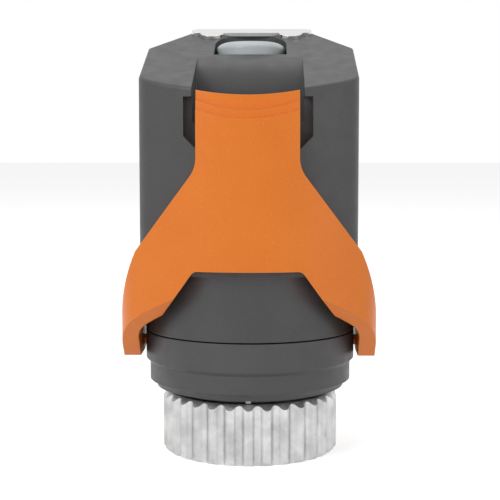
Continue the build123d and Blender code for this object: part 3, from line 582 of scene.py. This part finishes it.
# ------------------------------------------------------------------ studio
def seen_directly(tree: bpy.types.NodeTree) -> bpy.types.NodeSocket:
    """Tell rays that are seen, straight or in a reflection, from rays that only carry light.

    The value is the largest of the marks for camera, glossy and transmission rays.

    Args:
        tree: Node tree to add to.

    Returns:
        A value output: 1 for a seen ray and 0 for the rest.
    """
    path = tree.nodes.new("ShaderNodeLightPath")
    seen = path.outputs["Is Camera Ray"]
    for mark in ("Is Glossy Ray", "Is Transmission Ray"):
        larger = tree.nodes.new("ShaderNodeMath")
        larger.operation = "MAXIMUM"
        tree.links.new(seen, larger.inputs[0])
        tree.links.new(path.outputs[mark], larger.inputs[1])
        seen = larger.outputs["Value"]
    return seen


@dataclass(frozen=True)
class Lamp:
    """A square lamp.

    Attributes:
        name: Name of the lamp.
        place: Its centre, in metres.
        size: Its side, in metres.
        power: Its power, in watts.
    """

    name: str
    place: Triple
    size: float
    power: float


@dataclass(frozen=True)
class Studio:
    """Plain pale floor, soft lamps and the camera.

    Attributes:
        distance: From the valve's axis to the lens.
        eye_height: Height of the lens.
        aim_height: Height on the valve's axis that the lens and the lamps point at.
        azimuth: Degrees that the lens stands to the right of the front.
        lens: Focal length in millimetres.
        sensor: Width of the sensor in millimetres.
        near_clip: Nearest distance that the lens sees, in metres.
        floor_size: Side of the floor.
        floor_drop: Depth of the floor below the part.
        floor_grey: Brightness of the floor's colour.
        floor_roughness: Roughness of the floor.
        floor_glow: Light that the floor adds where it is seen.
        room_light: Light that the room gives to the part.
        room_glow: Brightness of the room where it is seen.
        lamps: Broad key lamp at upper left, fill at right and soft lamp overhead.
    """

    distance: float = 252.0 * MM
    eye_height: float = 64.0 * MM
    aim_height: float = 41.0 * MM
    azimuth: float = 1.1
    lens: float = 88.0
    sensor: float = 36.0
    near_clip: float = 0.01
    floor_size: float = 6.0
    floor_drop: float = 0.02 * MM
    floor_grey: float = 0.86
    floor_roughness: float = 0.9
    floor_glow: float = 0.55
    room_light: float = 0.42
    room_glow: float = 1.0
    lamps: Tuple[Lamp, ...] = (
        Lamp("key_lamp", (-0.5, -0.55, 0.5), 0.4, 2.6),
        Lamp("fill_lamp", (0.6, -0.45, 0.25), 0.4, 0.7),
        Lamp("top_lamp", (0.0, 0.1, 0.8), 0.6, 1.6),
    )

    def aim(self, piece: bpy.types.Object) -> None:
        """Turn a camera or a lamp towards the part, and link it into the scene.

        Args:
            piece: The camera or lamp, already in its place.
        """
        line = Vector((0.0, 0.0, self.aim_height)) - piece.location
        piece.rotation_euler = line.to_track_quat("-Z", "Y").to_euler()
        bpy.context.scene.collection.objects.link(piece)

    def build_camera(self) -> None:
        """Place the camera in front of the part, looking slightly down."""
        angle = math.radians(self.azimuth)
        data = bpy.data.cameras.new("front_camera")
        data.lens = self.lens
        data.sensor_width = self.sensor
        data.clip_start = self.near_clip
        camera = bpy.data.objects.new("front_camera", data)
        camera.location = (
            self.distance * math.sin(angle),
            -self.distance * math.cos(angle),
            self.eye_height,
        )
        self.aim(camera)
        bpy.context.scene.camera = camera

    def build_world(self) -> None:
        """Give plain white light all round, seen as pure white by the lens and in reflections."""
        world = bpy.data.worlds.new("pale_room")
        world.use_nodes = True
        tree = world.node_tree
        background = tree.nodes["Background"]
        background.inputs["Color"].default_value = (1.0, 1.0, 1.0, 1.0)
        strength = tree.nodes.new("ShaderNodeMapRange")
        strength.inputs["To Min"].default_value = self.room_light
        strength.inputs["To Max"].default_value = self.room_glow
        tree.links.new(seen_directly(tree), strength.inputs["Value"])
        tree.links.new(strength.outputs["Result"], background.inputs["Strength"])
        bpy.context.scene.world = world

    def build_floor(self) -> None:
        """Lay a pale floor just under the part, bright to the lens but keeping its shadow.

        The floor is one square face, with its corners counted round from the left front.
        """
        half = self.floor_size / 2
        grey = (self.floor_grey,) * 3
        corners = ((-half, -half), (half, -half), (half, half), (-half, half))
        mesh = bpy.data.meshes.new("floor")
        mesh.from_pydata([(x, y, -self.floor_drop) for x, y in corners], [], [(0, 1, 2, 3)])
        mesh.update()
        floor = bpy.data.objects.new("floor", mesh)
        bpy.context.scene.collection.objects.link(floor)
        sheet = ShaderSheet("pale_floor")
        sheet.shader.inputs["Base Color"].default_value = (*grey, 1.0)
        sheet.shader.inputs["Roughness"].default_value = self.floor_roughness
        sheet.shader.inputs["Specular IOR Level"].default_value = 0.0
        sheet.shader.inputs["Emission Color"].default_value = (1.0, 1.0, 1.0, 1.0)
        glow = sheet.spread(seen_directly(sheet.tree), FULL, (0.0, self.floor_glow))
        sheet.join(glow, sheet.shader.inputs["Emission Strength"])
        mesh.materials.append(sheet.material)

    def build_lamps(self) -> None:
        """Hang the lamps."""
        for lamp in self.lamps:
            data = bpy.data.lights.new(lamp.name, "AREA")
            data.size = lamp.size
            data.energy = lamp.power
            piece = bpy.data.objects.new(lamp.name, data)
            piece.location = lamp.place
            self.aim(piece)

    def build(self) -> None:
        """Set up the whole studio."""
        bpy.context.scene.view_settings.view_transform = "Standard"
        self.build_camera()
        self.build_world()
        self.build_floor()
        self.build_lamps()


def main() -> None:
    """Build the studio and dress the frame."""
    logging.basicConfig(level=logging.INFO, format="%(name)s: %(message)s")
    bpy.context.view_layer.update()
    Studio().build()
    FinishShelf().dress_frame()
    bpy.context.view_layer.update()


if __name__ == "__main__":
    main()
